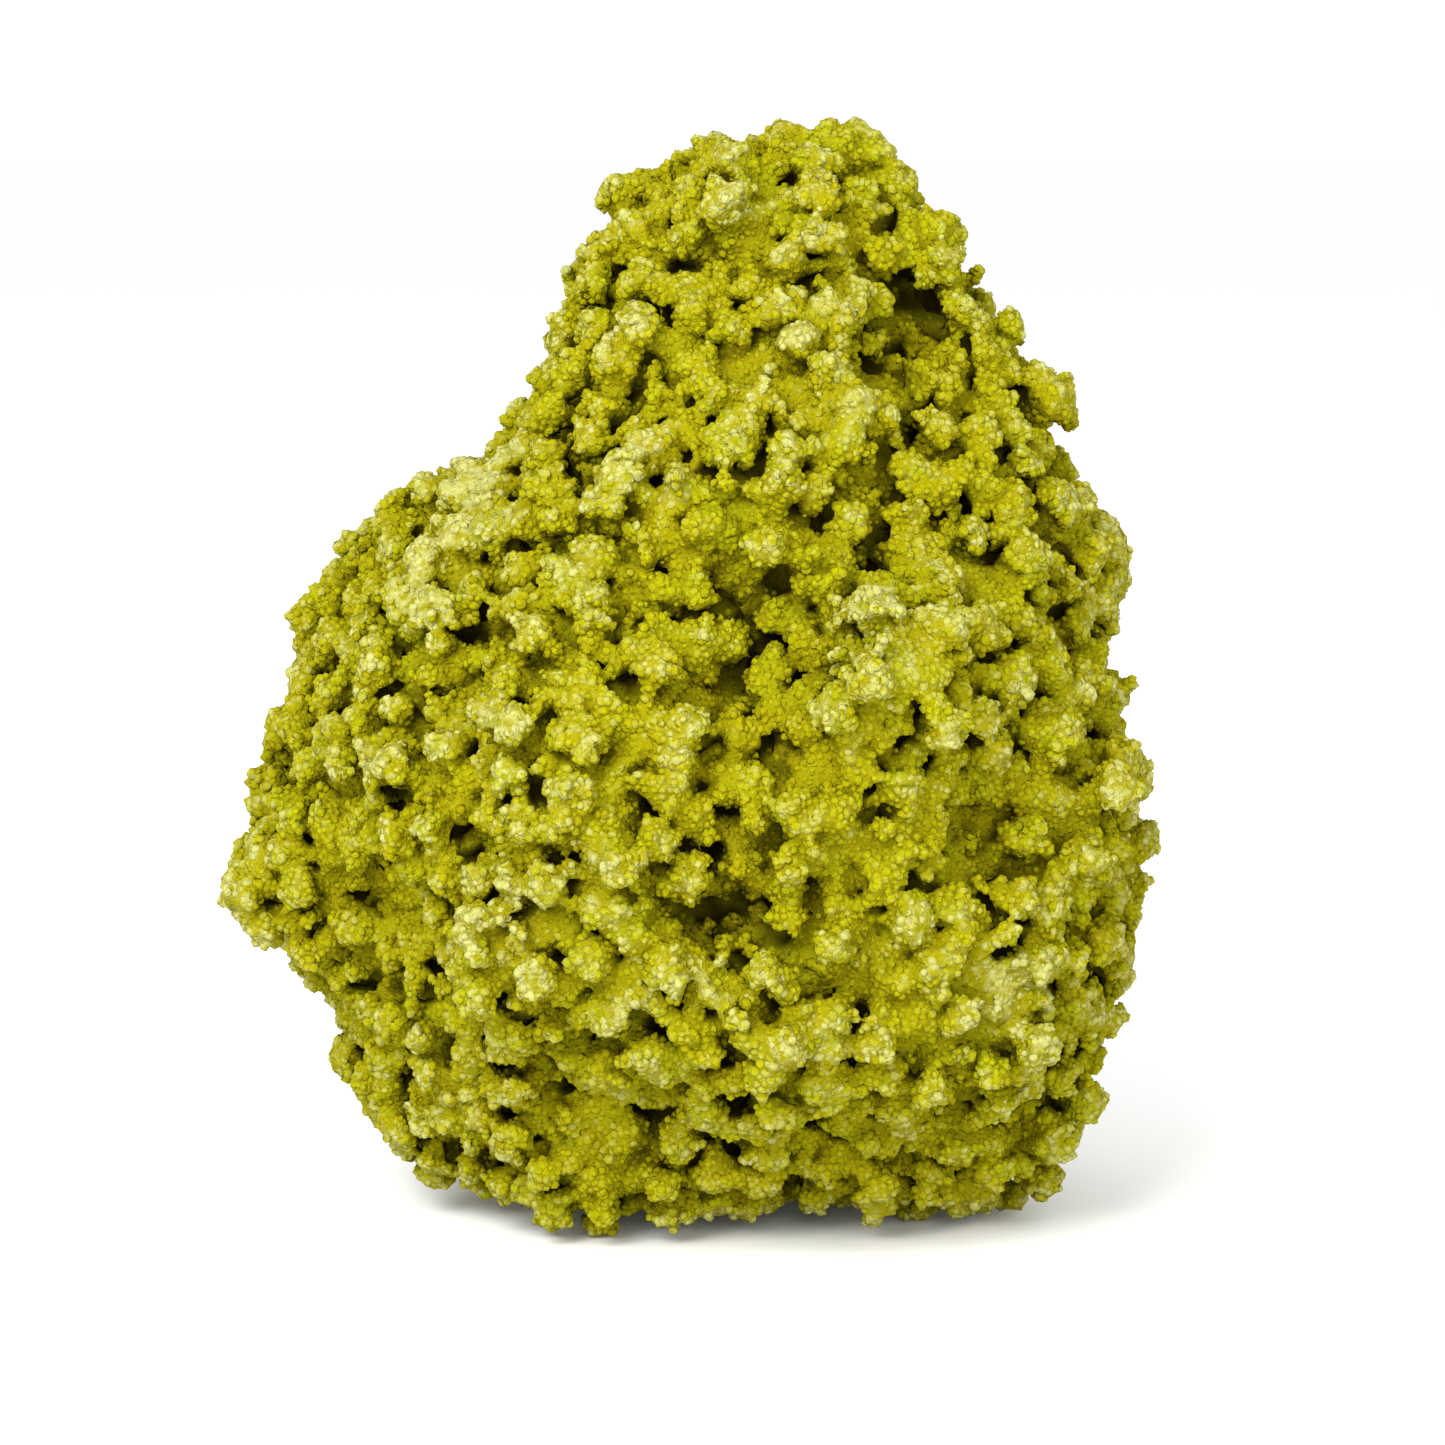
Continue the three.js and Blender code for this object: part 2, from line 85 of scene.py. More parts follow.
# Places round the rim that stand in or out: right of the middle, behind it, height, radius and rise.
rim_forms = [
    (-33, 0, 20, 4, -2.2), (-30, 0, 52, 6, -0.8), (36, 0, 33, 4, 1.6), (35, 0, 56, 4, 1.2),
    (-22, 0, 5, 5, 1.6), (30, 0, 5, 5, 1.6), (-37, 0, 37.5, 3, -2.8), (-23, 0, 63, 4, 0.6),
    (36, 0, 50, 4, 1.2), (33, 0, 15, 5, 1.6), (26, 0, 79, 4, 1.4), (-28, 0, 12, 4, 1.0),
    (23, 0, 84.5, 3, 1.2), (33.5, 0, 67, 3, -1.6), (-1, 0, 92.5, 3, -0.6),
]
# Patches of the front rubbed smooth and pale: distance right of the middle, height, radius, strength.
worn_patches = [
    (16.4, 52.0, 5.0, 0.6), (-2.3, 65.3, 3.0, 0.7), (-17.6, 64.6, 5.0, 1.0), (-21.8, 56.1, 4.5, 0.8),
    (10.5, 71.8, 3.5, 0.6), (13.0, 82.0, 3.5, 0.7), (5.4, 89.3, 3.2, 0.8), (-9.1, 31.4, 3.0, 0.7),
    (-16.7, 42.0, 3.5, 0.6), (-24.0, 42.9, 3.0, 0.5), (-15.5, 26.3, 4.0, 0.7), (2.0, 22.5, 3.5, 0.6),
    (27.5, 21.2, 4.2, 1.0), (17.7, 24.6, 3.5, 0.5), (33.4, 37.8, 3.0, 0.6), (-5.7, 39.9, 3.0, 0.5),
    (-17.6, 31.9, 3.0, 0.5), (7.9, 75.7, 4.0, 0.6), (-19.0, 60.0, 4.0, 0.8),
]


def mesh_arrays(mesh):
    """The corners, triangles and corner normals of a mesh."""
    corners = np.empty(len(mesh.vertices) * 3, np.float32)
    mesh.vertices.foreach_get("co", corners)
    normals = np.empty(len(mesh.vertices) * 3, np.float32)
    mesh.vertices.foreach_get("normal", normals)
    mesh.calc_loop_triangles()
    triangles = np.empty(len(mesh.loop_triangles) * 3, np.int32)
    mesh.loop_triangles.foreach_get("vertices", triangles)
    return (
        corners.reshape(-1, 3).astype(float),
        triangles.reshape(-1, 3),
        normals.reshape(-1, 3).astype(float),
    )


def smoothstep(low, high, value):
    """0 at low and 1 at high, with a soft start and end."""
    t = np.clip((value - low) / (high - low), 0, 1)
    return t * t * (3 - 2 * t)


def near(points, spot, radius):
    """1 at a spot, falling to 0 over a radius."""
    return smoothstep(1.0, 0.0, np.linalg.norm(points - np.array(spot), axis=1) / radius)


def on_front(across, height):
    """Where a place given as it is seen from the front lies on the mass."""
    seen = middle + Vector((across * MM, 0, 0)) + eye_up * (height - middle_height) * MM
    return skin_tree.ray_cast(eye, (seen - eye).normalized())[0]


mass = bmesh.new()
mass.from_mesh(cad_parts["nontronite_mass"].data)
bmesh.ops.remove_doubles(mass, verts=mass.verts, dist=0.001 * MM)
bmesh.ops.subdivide_edges(mass, edges=mass.edges, cuts=1, use_grid_fill=True)
bmesh.ops.triangulate(mass, faces=mass.faces)
for _ in range(3):
    bmesh.ops.smooth_vert(
        mass, verts=mass.verts, factor=0.5, use_axis_x=True, use_axis_y=True, use_axis_z=True
    )
mass_mesh = bpy.data.meshes.new("mass")
mass.to_mesh(mass_mesh)
mass.free()
corners, triangles, normals = mesh_arrays(mass_mesh)
skin_tree = BVHTree.FromPolygons(corners.tolist(), triangles.tolist())

pits = [(on_front(x, z), radius * MM, depth * MM) for x, z, radius, depth in front_pits]
worn_spots = [(on_front(x, z), radius * MM, strength) for x, z, radius, strength in worn_patches]
push = np.full(len(corners), -crust_depth)
for forms, way in ((front_swells, 1), (front_valleys, -1)):
    for x, z, radius, amount in forms:
        push += way * amount * MM * near(corners, on_front(x, z), radius * 1.5 * MM)
for x, y, z, radius, rise in rim_forms:
    push += rise * MM * near(corners, (x * MM, y * MM, z * MM), radius * 2.2 * MM)
for spot, radius, depth in pits:
    push -= near(corners, spot, radius * 1.8 + 1.5 * MM) * depth * 0.75
for spot, radius, strength in worn_spots:
    push += near(corners, spot, radius * 1.6) * strength * 0.9 * MM
corners += normals * push[:, None]
corners[:, 2] = np.maximum(corners[:, 2], 0.3 * MM)      # nothing reaches below the floor
mass_mesh.vertices.foreach_set("co", corners.astype(np.float32).ravel())
mass_mesh.update()

# ---- Florets -----------------------------------------------------------------------------------------
# The crust is made of small heads like the florets of a cauliflower, 3 to 5 mm across. Each grew on a
# stem from the mass, lobed all round its top; smaller ones grew in the gaps between them.


def scattered(mesh, spacing_at, seed, tries):
    """Points spread evenly but at random over a mesh, with their normals and spacings."""
    corners, triangles, normals = mesh_arrays(mesh)
    a, b, c = (corners[triangles[:, k]] for k in range(3))
    area = np.linalg.norm(np.cross(b - a, c - a), axis=1) / 2
    random = np.random.default_rng(seed)
    count = int(area.sum() / spacing_at(np.zeros((1, 3)))[0] ** 2 * tries)
    picked = random.choice(len(triangles), count, p=area / area.sum())
    u, v = random.random((2, count, 1))
    u, v = np.where(u + v > 1, 1 - u, u), np.where(u + v > 1, 1 - v, v)
    points = a[picked] + u * (b - a)[picked] + v * (c - a)[picked]
    na, nb, nc = (normals[triangles[picked, k]] for k in range(3))
    directions = na + u * (nb - na) + v * (nc - na)
    directions /= np.linalg.norm(directions, axis=1, keepdims=True)
    tree = KDTree(count)
    for i, point in enumerate(points):
        tree.insert(point, i)
    tree.balance()
    free = np.ones(count, bool)
    spacing = spacing_at(points)
    kept = []
    for i, point in enumerate(points):
        if free[i]:
            kept.append(i)
            for _, close, _ in tree.find_range(point, spacing[i]):
                free[close] = False
    return points[kept], directions[kept], spacing[kept]


def swirls(points, size, seed):
    """Soft random swirls from -1 to 1, of a given size, at each point."""
    shift = Vector((seed * 17.3, seed * 5.1, seed * 9.7))
    return np.array([noise.noise(Vector(p) / size + shift) for p in points.tolist()])


def worn_at(points):
    """How far each point is rubbed smooth, from 0 to 1."""
    worn = np.zeros(len(points))
    for spot, radius, strength in worn_spots:
        worn = np.maximum(worn, near(points, spot, radius * 1.6) * strength)
    return worn


def calm_at(points):
    """1 on the left flank, where the crust is finer and flatter, and 0 on the right."""
    return smoothstep(-2 * MM, -20 * MM, points[:, 0])


def in_pit(points, around):
    """Whether each point lies in a pit, or within a distance of its edge."""
    inside = np.zeros(len(points), bool)
    for spot, radius, depth in pits:
        inside |= np.linalg.norm(points - np.array(spot), axis=1) < 0.8 * radius + around
    return inside


def frames_for(directions, random):
    """Two directions across each given one, turned at random."""
    helper = np.where(np.abs(directions[:, 2:3]) < 0.9, [[0.0, 0.0, 1.0]], [[1.0, 0.0, 0.0]])
    across = np.cross(directions, helper)
    across /= np.linalg.norm(across, axis=1, keepdims=True)
    along = np.cross(directions, across)
    turn = random.random((len(directions), 1)) * 2 * np.pi
    return np.cos(turn) * across + np.sin(turn) * along, np.cos(turn) * along - np.sin(turn) * across


golden_turn = 2.399963            # radians between one lobe and the next, so that no two line up


def floret_balls(places, outward, size, lift, lobes, random):
    """The balls that make up florets: a stem, a core, and lobes all round its top."""
    count = len(places)
    axis = outward + random.normal(0, 0.2, (count, 3))
    axis /= np.linalg.norm(axis, axis=1, keepdims=True)
    along, across = frames_for(axis, random)
    stretch = random.uniform(0.9, 1.35, count)
    crown = places + axis * lift[:, None]
    centres = [places + axis * (share * lift)[:, None] for share in (0, 0.33, 0.67, 1)]
    radii = [size * 0.5 + lift * 0.06] * 3 + [size * 0.54]
    for lobe in range(lobes):
        tilt = np.arccos(1 - 1.4 * (lobe + random.random(count)) / lobes)
        turn = golden_turn * lobe + random.uniform(-0.4, 0.4, count)
        reach = size * random.uniform(0.56, 0.86, count)
        step = (
            axis * (np.cos(tilt) * reach)[:, None]
            + along * (np.sin(tilt) * np.cos(turn) * reach * stretch)[:, None]
            + across * (np.sin(tilt) * np.sin(turn) * reach)[:, None]
        )
        centres.append(crown + step)
        radii.append(size * random.uniform(0.26, 0.43, count))
    return np.concatenate(centres), np.concatenate(radii), crown


# The florets: how far apart they stand, how much closer on the calm flank, and how many are missing.
floret_spacing, calm_closer, floret_missing = 3.1, 0.6, 0.03
random = np.random.default_rng(5)
places, outward, _ = scattered(
    mass_mesh, lambda p: (floret_spacing - calm_closer * calm_at(p)) * MM, seed=11, tries=10
)
keep = ~in_pit(places, 1.9 * MM) & (random.random(len(places)) > floret_missing)
places, outward = places[keep], outward[keep]
count = len(places)
worn = smoothstep(0.2, 0.8, worn_at(places))
under = smoothstep(10 * MM, 4 * MM, places[:, 2]) * smoothstep(0.5, -0.3, outward[:, 2])
calm = calm_at(places)
size = random.uniform(1.55, 2.35, count) * (1 - 0.2 * under) * (1 - 0.2 * calm)
size = (size * (1 - worn) + 2.3 * worn) * MM
rise = 0.9 * swirls(places, 8 * MM, 1) + random.uniform(-0.9, 0.9, count)
lift = np.clip(2.3 + 0.2 * calm + rise * (1 - 0.55 * calm), 0.9, 3.4)
lift = (lift * (1 - worn) + 1.8 * worn) * MM
main_balls, main_radii, crowns = floret_balls(places, outward, size, lift, lobes=12, random=random)

floret_tree = KDTree(count)
for i, place in enumerate(places):
    floret_tree.insert(place, i)
floret_tree.balance()

# Smaller florets in the gaps, with some left out, so that the crust is deep between its heads.
gap_spacing, gap_missing = 1.7, 0.28
fill, fill_outward, _ = scattered(
    mass_mesh, lambda p: np.full(len(p), gap_spacing * MM), seed=12, tries=8
)
calm = calm_at(fill)
gap = np.array([floret_tree.find(p)[2] for p in fill])
keep = (
    (gap > (gap_spacing - 0.15 * calm) * MM)
    & (random.random(len(fill)) > gap_missing * (1 - calm))
    & ~in_pit(fill, 0.8 * MM)
)
fill, fill_outward, calm = fill[keep], fill_outward[keep], calm[keep]
fill_size = (random.uniform(0.8, 1.25, len(fill)) + 0.15 * calm) * MM
fill_lift = (random.uniform(0.3, 1.9, len(fill)) + 0.4 * calm) * MM
fill_balls, fill_radii, _ = floret_balls(
    fill, fill_outward, fill_size, fill_lift, lobes=6, random=random
)

# Larger florets that stand out on the rim: right of the middle, behind it, height and radius.
rim_florets = [
    (11.4, 2.0, 92.4, 2.4), (14.0, 3.0, 92.2, 2.3), (16.6, 1.0, 88.4, 2.2), (20.2, 0.0, 85.0, 2.3),
    (35.0, 1.0, 59.0, 2.2), (35.8, 1.0, 56.8, 2.2), (31.4, 0.0, 70.6, 2.0), (-38.4, -2.0, 28.4, 2.3),
    (-36.2, -2.0, 25.0, 2.3), (-36.4, -1.0, 30.6, 2.2), (-5.4, 2.0, 88.2, 2.0), (15.6, 1.0, 91.0, 2.0),
]
rim_root = 4.5                    # how far inside its place each of them is rooted, in millimetres
rim_centre = np.array([2.0, 2.0, 44.0]) * MM
rim_places = np.array([(x, y, z) for x, y, z, radius in rim_florets]) * MM
rim_sizes = np.array([radius for x, y, z, radius in rim_florets]) * MM
rim_outward = rim_places - rim_centre
rim_outward /= np.linalg.norm(rim_outward, axis=1, keepdims=True)
rim_roots = rim_places - rim_outward * rim_root * MM
rim_lift = rim_root * MM - rim_sizes * 0.3
rim_balls, rim_radii, _ = floret_balls(
    rim_roots, rim_outward, rim_sizes, rim_lift, lobes=12, random=random
)

# Some neighbouring florets have grown together, into short ridges.
bridge_reach, bridge_chance = 4.2 * MM, 0.14
bridges, bridge_radii = [], []
for i, place in enumerate(places):
    for _, j, distance in floret_tree.find_n(place, 5):
        if j > i and distance < bridge_reach and random.random() < bridge_chance:
            for share in (0.35, 0.65):
                between = crowns[i] * (1 - share) + crowns[j] * share
                bridges.append(between + random.normal(0, 0.25 * MM, 3))
                bridge_radii.append(random.uniform(0.75, 1.15) * MM)

# ---- The grown-together clay -------------------------------------------------------------------------
# The mass and its florets are one piece of clay, grown together without a seam. Its surface is crumbly,
# so nothing on it is truly round.


def mesh_from_arrays(name, corners, triangles):
    """A smooth-shaded mesh of triangles."""
    mesh = bpy.data.meshes.new(name)
    mesh.vertices.add(len(corners))
    mesh.vertices.foreach_set("co", np.asarray(corners, np.float32).ravel())
    mesh.loops.add(len(triangles) * 3)
    mesh.loops.foreach_set("vertex_index", np.asarray(triangles, np.int32).ravel())
    mesh.polygons.add(len(triangles))
    mesh.polygons.foreach_set("loop_start", np.arange(len(triangles), dtype=np.int32) * 3)
    mesh.polygons.foreach_set("use_smooth", np.ones(len(triangles), bool))
    mesh.update(calc_edges=True)
    mesh.validate()
    return mesh


def ball(subdivisions):
    """The corners and triangles of a ball of radius 1."""
    shape = bmesh.new()
    bmesh.ops.create_icosphere(shape, subdivisions=subdivisions, radius=1.0)
    mesh = bpy.data.meshes.new("ball")
    shape.to_mesh(mesh)
    shape.free()
    return mesh_arrays(mesh)[:2]


def modified(shown, **settings):
    """The mesh of an object after one modifier, made from its type and settings."""
    modifier = shown.modifiers.new("change", settings.pop("type"))
    for name, value in settings.items():
        setattr(modifier, name, value)
    bpy.context.view_layer.update()
    mesh = bpy.data.meshes.new_from_object(shown.evaluated_get(bpy.context.evaluated_depsgraph_get()))
    shown.modifiers.clear()
    return mesh


def largest_part(corners, triangles):
    """The largest connected part of a mesh, without loose crumbs or closed bubbles."""
    one, other = triangles.ravel(), triangles[:, [1, 2, 0]].ravel()
    root = np.arange(len(corners))
    while True:
        low, high = np.minimum(root[one], root[other]), np.maximum(root[one], root[other])
        apart = low != high
        if not apart.any():
            break
        np.minimum.at(root, high[apart], low[apart])
        while (root[root] != root).any():
            root = root[root]
    mine = root == np.bincount(root).argmax()
    number = np.cumsum(mine) - 1
    return corners[mine], number[triangles[mine[triangles[:, 0]]]]


def crumble(points, size, amount, seed):
    """A random push each way, in lumps of a given size."""
    shift = Vector((seed * 7.7, seed * 3.9, seed * 5.3))
    return amount * np.array([noise.noise_vector(Vector(p) / size + shift) for p in points.tolist()])


voxel = 0.37 * MM                 # the clay is grown together on a grid of this size
body_triangles = 120000           # what the body keeps, since the grains on it carry the fine detail

noise.seed_set(4)                 # noise_vector differs from run to run without a seed
centres = np.concatenate([main_balls, fill_balls, rim_balls, np.array(bridges)])
radii = np.concatenate([main_radii, fill_radii, rim_radii, np.array(bridge_radii)])
centres[:, 2] = np.maximum(centres[:, 2], radii + 0.3 * MM)
ball_corners, ball_triangles = ball(2)
corners, triangles, _ = mesh_arrays(mass_mesh)
ball_numbers = len(corners) + np.arange(len(centres))[:, None, None] * len(ball_corners)
balls = centres[:, None] + radii[:, None, None] * ball_corners[None]
joined = mesh_from_arrays(
    "joined",
    np.concatenate([corners, balls.reshape(-1, 3)]),
    np.concatenate([triangles, (ball_numbers + ball_triangles[None]).reshape(-1, 3)]),
)
clay_mass = bpy.data.objects.new("clay_mass", joined)
bpy.context.scene.collection.objects.link(clay_mass)
grown = modified(clay_mass, type="REMESH", mode="VOXEL", voxel_size=voxel)
corners, triangles, _ = mesh_arrays(grown)
corners, triangles = largest_part(corners, triangles)
corners += crumble(corners, 1.7 * MM, 0.55 * MM, 3) + crumble(corners, 0.8 * MM, 0.22 * MM, 6)
corners[:, 2] = np.maximum(corners[:, 2], 0.1 * MM)
full = mesh_from_arrays("full", corners, triangles)
clay_mass.data = full
thin = modified(clay_mass, type="DECIMATE", ratio=body_triangles / len(triangles))
thin.polygons.foreach_set("use_smooth", np.ones(len(thin.polygons), bool))
clay_mass.data = thin

# ---- Spherules ---------------------------------------------------------------------------------------
# All over the florets sit fused grains of clay, 0.6 to 1 mm across and a little larger behind. On the
# tops that are handled and dry they are worn lower, opened by small craters and pale with dust.


def openness_at(points, normals, reach=10 * MM):
    """How much of the space in front of each point is open, from 0 to 1."""
    result = np.zeros(len(points))
    for i, (point, normal) in enumerate(zip(points, normals)):
        normal = Vector(normal)
        start = Vector(point) + normal * 0.25 * MM
        rays = [d for d in ray_directions if d.dot(normal) > 0.2]
        clear = sum(thin_tree.ray_cast(start, d, reach)[0] is None for d in rays)
        result[i] = clear / max(len(rays), 1)
    return result


def height_over_skin(points):
    """How far each point stands out from the general outside of the mass."""
    result = np.zeros(len(points))
    for i, point in enumerate(points):
        nearest, normal, _, distance = skin_tree.find_nearest(point)
        result[i] = math.copysign(distance, (Vector(point) - nearest).dot(normal))
    return result


def pale_at(points, openness):
    """How much pale dry dust lies on each point."""
    proud = 0.5 + 0.5 * smoothstep(-1.5 * MM, 1.0 * MM, height_over_skin(points))
    proud = proud * smoothstep(0.5, 0.95, openness)
    blotch = swirls(points, 6 * MM, 4) + 0.7 * swirls(points, 1.6 * MM, 9)
    dust = 0.52 * proud * (0.9 + 0.6 * blotch)
    dust += 0.62 * worn_at(points) * smoothstep(0.2, 0.8, openness)
    return np.clip(dust, 0, 1)


def shape_arrays(shape):
    """The corners and triangles of a bmesh, which is used up."""
    bmesh.ops.triangulate(shape, faces=shape.faces)
    bmesh.ops.recalc_face_normals(shape, faces=shape.faces)
    mesh = bpy.data.meshes.new("grain")
    shape.to_mesh(mesh)
    shape.free()
    return mesh_arrays(mesh)[:2]


def round_grain():
    """A grain with its underside cut off flat: 18 faces."""
    shape = bmesh.new()
    bmesh.ops.create_icosphere(shape, subdivisions=1, radius=1.0)
    lowest = min(shape.verts, key=lambda v: v.co.z)
    bmesh.ops.delete(shape, geom=[lowest], context="VERTS")
    bmesh.ops.holes_fill(shape, edges=shape.edges)
    return shape_arrays(shape)


def low_grain():
    """A grain for the hollows, where only its top shows: 12 faces."""
    shape = bmesh.new()
    for count, radius, height in ((5, 1.0, -0.4), (3, 0.55, 0.8)):
        for k in range(count):
            turn = 2 * math.pi * k / count
            shape.verts.new((radius * math.cos(turn), radius * math.sin(turn), height))
    bmesh.ops.convex_hull(shape, input=shape.verts)
    return shape_arrays(shape)


def grain_batch(shape, mine):
    """Many grains of one shape: corners, triangles, values for the clay, and each on a flat disc."""
    corners, triangles = shape
    n = int(mine.sum())
    radius = spacing[mine] * grain_share * random.uniform(0.72, 1.24, n) * (1 + 0.1 * pale[mine])
    along, across = frames_for(directions[mine], random)
    basis = np.stack([along, across, directions[mine]], axis=1)
    widths = [random.uniform(low, high, n) for low, high in ((0.9, 1.15), (0.9, 1.15), (0.75, 1.1))]
    squash = np.stack(widths, axis=1)
    local = corners[None] * (1 + random.uniform(-0.18, 0.18, (n, len(corners), 1)))
    if len(corners) > low_grain_corners:
        cratered = (pale[mine] > 0.3) & (random.random(n) < 0.45)
        local[cratered, np.argmax(corners[:, 2]), 2] *= random.uniform(0.15, 0.45, cratered.sum())
    local = local * squash[:, None, :] * radius[:, None, None]
    world = np.einsum("gvk,gkd->gvd", local, basis)
    sunk = (0.36 + 0.3 * pale[mine]) * radius
    world += (spots[mine] - directions[mine] * sunk[:, None])[:, None, :]
    world[:, :, 2] = np.maximum(world[:, :, 2], 0.02 * MM)
    low, high = corners[:, 2].min(), corners[:, 2].max()
    # tip runs from the foot of each grain to its top; with openness it carries painted shade into the
    # clay.
    values = {"tip": np.tile((corners[:, 2] - low) / (high - low), n)}
    per_grain = {"shade": random.random(n), "openness": openness[mine], "pale": pale[mine]}
    for name, value in per_grain.items():
        values[name] = np.repeat(value, len(corners))
    members = (np.arange(n)[:, None, None] * len(corners) + triangles[None]).reshape(-1, 3)
    fall = np.arccos(corners[:, 2] / np.linalg.norm(corners, axis=1))
    turn = np.arctan2(corners[:, 1], corners[:, 0])
    disc = 0.5 + 0.45 * (fall / fall.max())[:, None] * np.stack([np.cos(turn), np.sin(turn)], axis=1)
    disc = disc[triangles]
    # The underside never shows, so it takes a corner of the grain's own cell.
    disc[(corners[triangles, 2] < low + 0.05).all(axis=1)] = [(0.01, 0.01), (0.07, 0.01), (0.01, 0.07)]
    return world.reshape(-1, 3), members, values, np.broadcast_to(disc, (n, *disc.shape))


def keep_values(mesh, values):
    """Keeps a value of each corner for the clay to read."""
    for name, value in values.items():
        attribute = mesh.attributes.new(name, "FLOAT", "POINT")
        attribute.data.foreach_set("value", np.asarray(value, np.float32))


# The grains: how far apart they lie, how much wider at the back, and how large they are for that.
grain_spacing, wider_behind, grain_share = 0.51, 0.24, 0.84
low_grain_corners = 8             # the round grains have more, and only they have craters
spots, directions, spacing = scattered(
    full,
    lambda p: (grain_spacing + wider_behind * smoothstep(0, 24 * MM, p[:, 1])) * MM,
    seed=3,
    tries=6,
)
thin_corners, thin_triangles, thin_normals = mesh_arrays(thin)
thin_tree = BVHTree.FromPolygons(thin_corners.tolist(), thin_triangles.tolist())
ray_directions = [Vector(d) for d in ball_corners]
openness = openness_at(spots, directions)
keep = (openness > 0.2) & (spots[:, 2] > 0.3 * MM)
spots, directions, openness, spacing = spots[keep], directions[keep], openness[keep], spacing[keep]
pale = pale_at(spots, openness)

# The grains are joined in six pieces with about as many faces each, every one a sector of the specimen.
random = np.random.default_rng(8)
sector_count = 6
round_faces, low_faces = 18, 12
in_sight = openness > 0.6         # the others lie in the hollows
round_about = np.argsort(np.arctan2(spots[:, 0], -spots[:, 1]))
faces = np.cumsum(np.where(in_sight, round_faces, low_faces)[round_about])
sector = np.empty(len(spots), int)
sector[round_about] = np.minimum(faces * sector_count // faces[-1], sector_count - 1)
pieces = [clay_mass]
for k in range(sector_count):
    tops = grain_batch(round_grain(), (sector == k) & in_sight)
    lows = grain_batch(low_grain(), (sector == k) & ~in_sight)
    mesh = mesh_from_arrays(
        f"spherules_{k}",
        np.concatenate([tops[0], lows[0]]),
        np.concatenate([tops[1], lows[1] + len(tops[0])]),
    )
    keep_values(mesh, {name: np.concatenate([tops[2][name], lows[2][name]]) for name in tops[2]})
    row = math.ceil(math.sqrt(len(tops[3]) + len(lows[3])))
    number = np.arange(row * row)
    cell = np.stack([number % row, number // row], axis=1)[:, None, None]
    discs = [
        (tops[3] + cell[:len(tops[3])]).reshape(-1),
        (lows[3] + cell[len(tops[3]):len(tops[3]) + len(lows[3])]).reshape(-1),
    ]
    layer = mesh.uv_layers.new(name="OFBake")
    layer.data.foreach_set("uv", (np.concatenate(discs) / row).astype(np.float32))
    piece = bpy.data.objects.new(f"spherules_{k}", mesh)
    bpy.context.scene.collection.objects.link(piece)
    pieces.append(piece)

# The body takes painted shade too: its fixed tip darkens it like a grain's foot, and its openness
# darkens its hollows.
thin_openness = openness_at(thin_corners, thin_normals)
keep_values(thin, {
    "openness": thin_openness,
    "pale": 0.7 * pale_at(thin_corners, thin_openness),
    "tip": np.full(len(thin_corners), 0.25),
    "shade": np.full(len(thin_corners), 0.3),
})

# ---- The clay ----------------------------------------------------------------------------------------
# Nontronite is a matt, powdery clay: yellow-green, and pale where dry dust lies on the worn tops. Its
# colour also holds painted shade: darker ochre towards the foot of each grain and in its fine creases,
# darker in the hollows, and almost black in the deep pits.

clay = bpy.data.materials.new("powdery clay")
clay.use_nodes = True
nodes, links = clay.node_tree.nodes, clay.node_tree.links
shader = nodes["Principled BSDF"]
shader.inputs["Roughness"].default_value = 0.95
shader.inputs["Specular IOR Level"].default_value = 0.03
place = nodes.new("ShaderNodeTexCoord").outputs["Object"]


def feed(node, values):
    """Sets or links the inputs of a node."""
    for socket, value in values.items():
        if isinstance(value, bpy.types.NodeSocket):
            links.new(value, node.inputs[socket])
        else:
            node.inputs[socket].default_value = (*value, 1) if isinstance(value, tuple) else value


def kept_value(name):
    """A value that the mesh keeps for each corner."""
    node = nodes.new("ShaderNodeAttribute")
    node.attribute_name = name
    return node.outputs["Fac"]


def speckle(scale, detail):
    """Soft random noise, from 0 to 1, with a given number of repeats in a metre."""
    node = nodes.new("ShaderNodeTexNoise")
    feed(node, {"Vector": place, "Scale": scale, "Detail": detail})
    return node.outputs["Fac"]


def mix(factor, a, b):
    """From a, where the factor is 0, to b, where it is 1."""
    node = nodes.new("ShaderNodeMix")
    node.data_type = "RGBA"
    feed(node, {"Factor": factor, "A": a, "B": b})
    return node.outputs["Result"]


def span(value, low, high, a=0.0, b=1.0):
    """From a, where a value is low, to b, where it is high, with a soft start and end."""
    node = nodes.new("ShaderNodeMapRange")
    node.interpolation_type = "SMOOTHSTEP"
    feed(node, {"Value": value, "From Min": low, "From Max": high, "To Min": a, "To Max": b})
    return node.outputs["Result"]


def fine_grains(scale, wander):
    """How far a point lies from the middle of its own fine grain: 0 there, about 0.7 in a crease."""
    cells, wobble = nodes.new("ShaderNodeTexVoronoi"), nodes.new("ShaderNodeTexNoise")
    feed(wobble, {"Vector": place, "Scale": 0.7 * scale, "Detail": 2.0})
    feed(cells, {"Vector": mix(wander, place, wobble.outputs["Color"]), "Scale": scale})
    return cells.outputs["Distance"]


def times(a, b):
    """One value times another."""
    node = nodes.new("ShaderNodeMath")
    node.operation = "MULTIPLY"
    feed(node, {0: a, 1: b})
    return node.outputs["Value"]


